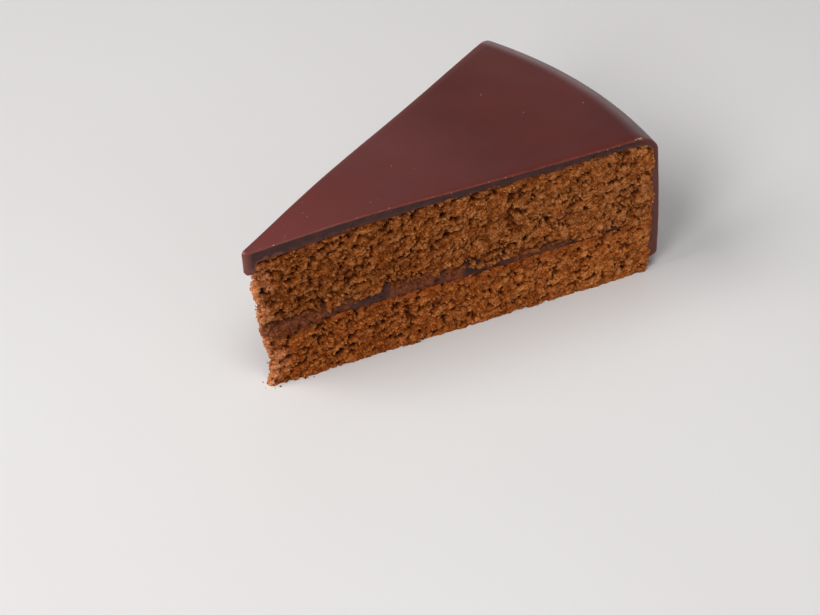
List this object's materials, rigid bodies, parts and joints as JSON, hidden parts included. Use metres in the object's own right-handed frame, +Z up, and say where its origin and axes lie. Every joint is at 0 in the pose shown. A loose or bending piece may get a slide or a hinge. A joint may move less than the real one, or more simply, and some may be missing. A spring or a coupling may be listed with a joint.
{
  "type": "slice of sachertorte cake",
  "caption": "Wedge cut from a round chocolate sponge cake with a dark jam filling, glazed on top and down its curved rim.",
  "frame": {"origin": "middle of the slice's bounding box, on the table", "axes": "+X from the slice's tip to its round rim, +Y across the slice from one cut face to the other, +Z up"},
  "size_m": [0.1204, 0.0688, 0.0481],
  "materials": {
    "chocolate_glaze": "dark red-brown poured chocolate glaze, satin, with a soft shine on the shoulder",
    "upper_sponge": "brown chocolate sponge, matt, crumbly and full of small pores",
    "jam_filling": "dark apricot jam soaked brown by the sponge, sticky and half gloss",
    "lower_sponge": "brown chocolate sponge, matt, a little redder where the jam has soaked in"
  },
  "bodies": {
    "root": {"chocolate_glaze": "chocolate_glaze", "upper_sponge": "upper_sponge", "jam_filling": "jam_filling", "lower_sponge": "lower_sponge"}
  },
  "joints": []
}
